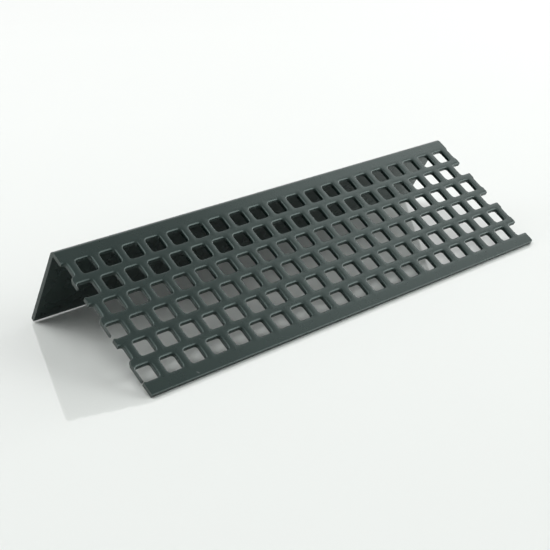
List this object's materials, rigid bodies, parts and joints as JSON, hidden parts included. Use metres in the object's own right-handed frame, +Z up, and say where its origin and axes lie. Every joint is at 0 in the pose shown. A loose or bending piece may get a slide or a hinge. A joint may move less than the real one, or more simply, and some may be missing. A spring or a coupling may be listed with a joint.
{
  "type": "vent strip",
  "caption": "L-section vent strip of rigid plastic, with a perforated wing of staggered square air holes and a plain leg for fixing, cut to length.",
  "frame": {"origin": "on the floor under the middle of the strip as it rests on its two free long edges", "axes": "+X along the strip, +Z up, the perforated wing faces -Y and the plain leg faces +Y"},
  "size_m": [0.1528, 0.0578, 0.0255],
  "materials": {
    "vent_strip": "satin dark slate plastic"
  },
  "bodies": {
    "root": {"vent_strip": "vent_strip"}
  },
  "joints": []
}
